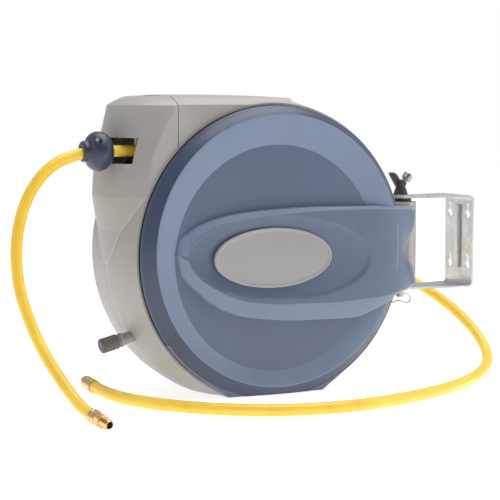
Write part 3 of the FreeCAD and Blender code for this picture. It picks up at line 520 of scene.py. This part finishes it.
def joined(name, meshes):
    merged = bmesh.new()
    for mesh in meshes:
        merged.from_mesh(mesh)
    out = bpy.data.meshes.new(name)
    merged.to_mesh(out)
    merged.free()
    return out


def loose_object(name, mesh):
    piece = bpy.data.objects.new(name, mesh)
    bpy.context.scene.collection.objects.link(piece)
    return piece


def walled(name, mesh, thickness, outward):
    """The mesh as a closed wall, thickened away from the side that faces the direction outward."""
    tidy = bmesh.new()
    tidy.from_mesh(mesh)
    bmesh.ops.remove_doubles(tidy, verts=tidy.verts, dist=1e-6)
    total = sum((face.normal * face.calc_area() for face in tidy.faces), Vector())
    if total.dot(outward) < 0:
        bmesh.ops.reverse_faces(tidy, faces=tidy.faces)
    tidy.to_mesh(mesh)
    tidy.free()
    piece = loose_object(name, mesh)
    thicken(piece, thickness)
    result = piece.data
    bpy.data.objects.remove(piece)
    return result


def cut_below_floor(mesh):
    cut = bmesh.new()
    cut.from_mesh(mesh)
    everything = cut.verts[:] + cut.edges[:] + cut.faces[:]
    bmesh.ops.bisect_plane(cut, geom=everything, plane_co=(0, 0, 0), plane_no=(0, 0, -1), clear_outer=True)
    cut.to_mesh(mesh)
    cut.free()


def make_front_cover(materials):
    disc_rows = cover_disc()
    disc = grid_mesh("cover_disc", disc_rows, closed=True)
    turns = len(disc_rows[0])
    cap = bmesh.new()
    cap.from_mesh(disc)
    cap.verts.ensure_lookup_table()
    cap.faces.new(cap.verts[len(cap.verts) - turns:])
    cap.to_mesh(disc)
    cap.free()
    rim_rows = len(RIM_PROFILE)
    # Rows of the rim bevel take the rim material, painted darker as painted shade; the dish slope rows take
    # the band material, painted lighter as painted light
    for index, polygon in enumerate(disc.polygons):
        row = index // turns
        polygon.material_index = 1 if row < rim_rows - 3 else 2 if rim_rows - 3 <= row < rim_rows + 13 else 0
    cut_below_floor(disc)
    outward = Vector((0, -1, 0))
    disc = walled("cover_disc", disc, COVER_WALL, outward)
    eye_mesh = grid_mesh("cover_eye", eye_rows())
    # Flank faces of the eye take the band material, painted lighter as painted light
    across = 2 * EYE_FLANK_STEPS + EYE_FACE_STEPS
    for index, polygon in enumerate(eye_mesh.polygons):
        step = index % across
        polygon.material_index = 2 if step < EYE_FLANK_STEPS or step >= across - EYE_FLANK_STEPS else 0
    foot = walled("cover_foot", grid_mesh("cover_foot", cover_foot()), FOOT_WALL, Vector((0, 0, -1)))
    eye = walled("cover_eye", eye_mesh, COVER_WALL, outward)
    mesh = joined("front_cover_shell", [disc, foot, eye])
    for slot in ("cover_blue", "cover_rim_painted_shade", "cover_band_painted_light"):
        mesh.materials.append(materials[slot])
    smooth_by_angle(mesh, 30)
    return new_piece("front_cover_shell", mesh, "housing", ["front_cover"])


def make_badge(materials):
    """Oval badge: a crowned plate inside a raised, rounded rim."""
    profile = [(0.0, -102.6), (0.0, -104.4), (0.35, -105.4), (1.0, -106.1), (1.9, -106.5), (2.8, -106.35),
               (3.5, -105.9), (4.1, -105.5), (4.8, -105.4), (8.0, -105.55), (16.0, -105.85), (26.0, -106.1),
               (34.0, -106.2), (38.4, -106.25)]
    angles = full_turn(144)
    rows = [[(-14 + (86 - inset) * math.cos(a), y, 182 + (39 - inset) * math.sin(a)) for a in angles]
            for inset, y in profile]
    mesh = capped(grid_mesh("badge_plate", in_metres(rows), closed=True), len(angles))
    mesh.materials.append(materials["badge_grey"])
    smooth_by_angle(mesh, 40)
    return new_piece("badge_plate", mesh, "housing", ["cover_badge"])


def capped(mesh, turns):
    """A closed grid with a face over its first and its last ring, and all faces turned outward."""
    solid = bmesh.new()
    solid.from_mesh(mesh)
    solid.verts.ensure_lookup_table()
    solid.faces.new(solid.verts[:turns])
    solid.faces.new(solid.verts[len(solid.verts) - turns:])
    bmesh.ops.recalc_face_normals(solid, faces=solid.faces)
    solid.to_mesh(mesh)
    solid.free()
    return mesh


def turned_mesh(name, start, direction, stations, turns=96):
    """A ring-shaped solid about an axis, from (distance, radius) stations in millimetres.

    A radius may also be a function of the angle.
    """
    along = Vector(direction).normalized()
    side = along.cross(Vector((0, 0, 1))).normalized()
    other = along.cross(side).normalized()
    rows = []
    for distance, radius in stations + [stations[0]]:
        row = []
        for a in full_turn(turns):
            r = radius(a) if callable(radius) else radius
            row.append(start + (along * distance + (side * math.cos(a) + other * math.sin(a)) * r) * MM)
        rows.append(row)
    mesh = grid_mesh(name, rows, closed=True)
    solid = bmesh.new()
    solid.from_mesh(mesh)
    bmesh.ops.remove_doubles(solid, verts=solid.verts, dist=1e-7)
    bmesh.ops.recalc_face_normals(solid, faces=solid.faces)
    solid.to_mesh(mesh)
    solid.free()
    return mesh


def route_end(route):
    last, before = Vector(route[-1]), Vector(route[-2])
    return last, (last - before).normalized()


def hexagon_radius(corner, limit):
    flat = corner * math.cos(math.pi / 6)

    def radius(angle):
        fold = (angle + math.pi / 6) % (math.pi / 3) - math.pi / 6
        return min(flat / math.cos(fold), limit)
    return radius


def thread_stations(first, last, crest, depth, pitch, taper):
    """Stations of a helical thread that tapers towards its last end."""
    stations = []
    steps = int((last - first) / 0.12)
    for k in range(steps + 1):
        distance = first + (last - first) * k / steps
        fade = smoothstep((last - distance) / 1.6) * smoothstep((distance - first) / 0.8)

        def radius(angle, distance=distance, fade=fade):
            phase = (distance / pitch - angle / (2 * math.pi)) % 1.0
            tooth = abs(2 * phase - 1)
            return crest - taper * (distance - first) - depth * (1 - tooth * fade)
        stations.append((distance, radius))
    return stations


def make_fittings(materials):
    """Brass ends: a hexagon with a tapered thread on the outlet, a round threaded socket on the lead-in."""
    end, direction = route_end(OUTLET_ROUTE)
    stations = [(4.0, 4.4), (4.0, 7.9), (4.3, 8.2), (4.6, hexagon_radius(HEX_CORNER, 8.7)),
                (5.4, hexagon_radius(HEX_CORNER, HEX_CORNER)), (11.8, hexagon_radius(HEX_CORNER, HEX_CORNER)),
                (12.6, hexagon_radius(HEX_CORNER, 8.8)), (13.0, 8.0), (13.0, 6.2)]
    stations += thread_stations(13.2, 26.8, 6.6, 0.75, THREAD_PITCH, 0.02)
    stations += [(27.2, 5.5), (28.0, 5.1), (28.0, 4.6), (27.8, 4.4)]
    mesh = turned_mesh("outlet_nipple_threaded", end, direction, stations, turns=96)
    mesh.materials.append(materials["brass"])
    smooth_by_angle(mesh, 35)
    nipple = new_piece("outlet_nipple_threaded", mesh, "carriage", ["outlet_nipple"])
    end, direction = route_end(LEAD_IN_ROUTE)
    stations = [(5.0, 5.0), (5.0, 8.0), (5.6, 8.6), (9.0, 8.6), (9.4, 8.2), (10.2, 8.2), (10.6, 8.6),
                (20.6, 8.6), (21.6, 8.1), (22.0, 7.4), (22.0, 6.6), (21.4, 6.0)]
    inner = thread_stations(9.6, 21.0, 6.3, 0.6, THREAD_PITCH, 0.0)
    stations += inner[::-1] + [(9.0, 5.7), (9.0, 5.0)]
    mesh = turned_mesh("lead_in_socket_threaded", end, direction, stations, turns=96)
    mesh.materials.append(materials["brass"])
    smooth_by_angle(mesh, 35)
    socket = new_piece("lead_in_socket_threaded", mesh, "housing", ["lead_in_socket"])
    return nipple, socket


def dress_nodes(materials):
    for entry in frame["record"]["subparts"]:
        node = nodes[entry["node"]]
        node.data.materials.clear()
        node.data.materials.append(materials[entry["material_slot"]])


# Studio: a plain pale floor and soft light
def make_floor():
    mesh = bpy.data.meshes.new("floor")
    mesh.from_pydata([(-6, -6, 0), (6, -6, 0), (6, 6, 0), (-6, 6, 0)], [], [(0, 1, 2, 3)])
    floor = loose_object("floor", mesh)
    floor.location.z = -0.0004
    s = Shader("floor_paint", (0.92, 0.92, 0.92), 0.6)
    s.colour_from(s.mixed(s.span(s.noise(2, 2), 0.0, 1.0), (0.91, 0.91, 0.91), (0.93, 0.93, 0.93)))
    s.socket("Emission Color", (1, 1, 1, 1))
    s.socket("Emission Strength", 0.62)
    mesh.materials.append(s.material)


def area_light(name, place, target, size, power, colour=(1, 1, 1)):
    data = bpy.data.lights.new(name, "AREA")
    data.shape = "RECTANGLE"
    data.size, data.size_y = size
    data.energy = power
    data.color = colour
    light = bpy.data.objects.new(name, data)
    bpy.context.scene.collection.objects.link(light)
    light.location = place
    aim = Vector(target) - Vector(place)
    light.rotation_euler = aim.to_track_quat("-Z", "Y").to_euler()


def make_lights():
    """Soft light from above and behind, weak from the front, on a white backdrop."""
    world = bpy.data.worlds.new("studio")
    world.use_nodes = True
    tree = world.node_tree
    dim = tree.nodes["Background"]
    dim.inputs["Color"].default_value = (1, 1, 1, 1)
    split = tree.nodes.new("ShaderNodeSeparateXYZ")
    tree.links.new(tree.nodes.new("ShaderNodeTexCoord").outputs["Generated"], split.inputs[0])
    depth = tree.nodes.new("ShaderNodeMapRange")
    depth.interpolation_type = "SMOOTHSTEP"
    for key, value in (("From Min", -1.0), ("From Max", 0.5), ("To Min", 0.22), ("To Max", 0.55)):
        depth.inputs[key].default_value = value
    tree.links.new(split.outputs["Y"], depth.inputs["Value"])
    tree.links.new(depth.outputs["Result"], dim.inputs["Strength"])
    backdrop = tree.nodes.new("ShaderNodeBackground")
    backdrop.inputs["Color"].default_value = (1, 1, 1, 1)
    backdrop.inputs["Strength"].default_value = 1.0
    rays = tree.nodes.new("ShaderNodeLightPath")
    mix = tree.nodes.new("ShaderNodeMixShader")
    tree.links.new(rays.outputs["Is Camera Ray"], mix.inputs[0])
    tree.links.new(dim.outputs[0], mix.inputs[1])
    tree.links.new(backdrop.outputs[0], mix.inputs[2])
    tree.links.new(mix.outputs[0], tree.nodes["World Output"].inputs["Surface"])
    bpy.context.scene.world = world
    target = (0, -0.05, 0.2)
    area_light("top", (0.3, -0.1, 2.1), target, (2.4, 1.8), 44)
    area_light("left", (-2.4, 0.4, 0.8), target, (1.0, 1.8), 3)
    area_light("right", (2.3, -1.1, 1.0), target, (1.0, 1.8), 14)
    bpy.context.scene.view_settings.view_transform = "Standard"


make_camera()
materials = make_materials()
nipple, socket = make_fittings(materials)
outlet_hose = make_hose("outlet_hose_line", OUTLET_ROUTE, "carriage", "outlet_hose")
lead_in_hose = make_hose("lead_in_hose_line", LEAD_IN_ROUTE, "housing", "lead_in_hose")
dress_nodes(materials)
for hose in (outlet_hose, lead_in_hose):
    hose.data.materials.append(materials["hose_yellow"])
make_front_cover(materials)
make_badge(materials)
make_floor()
make_lights()
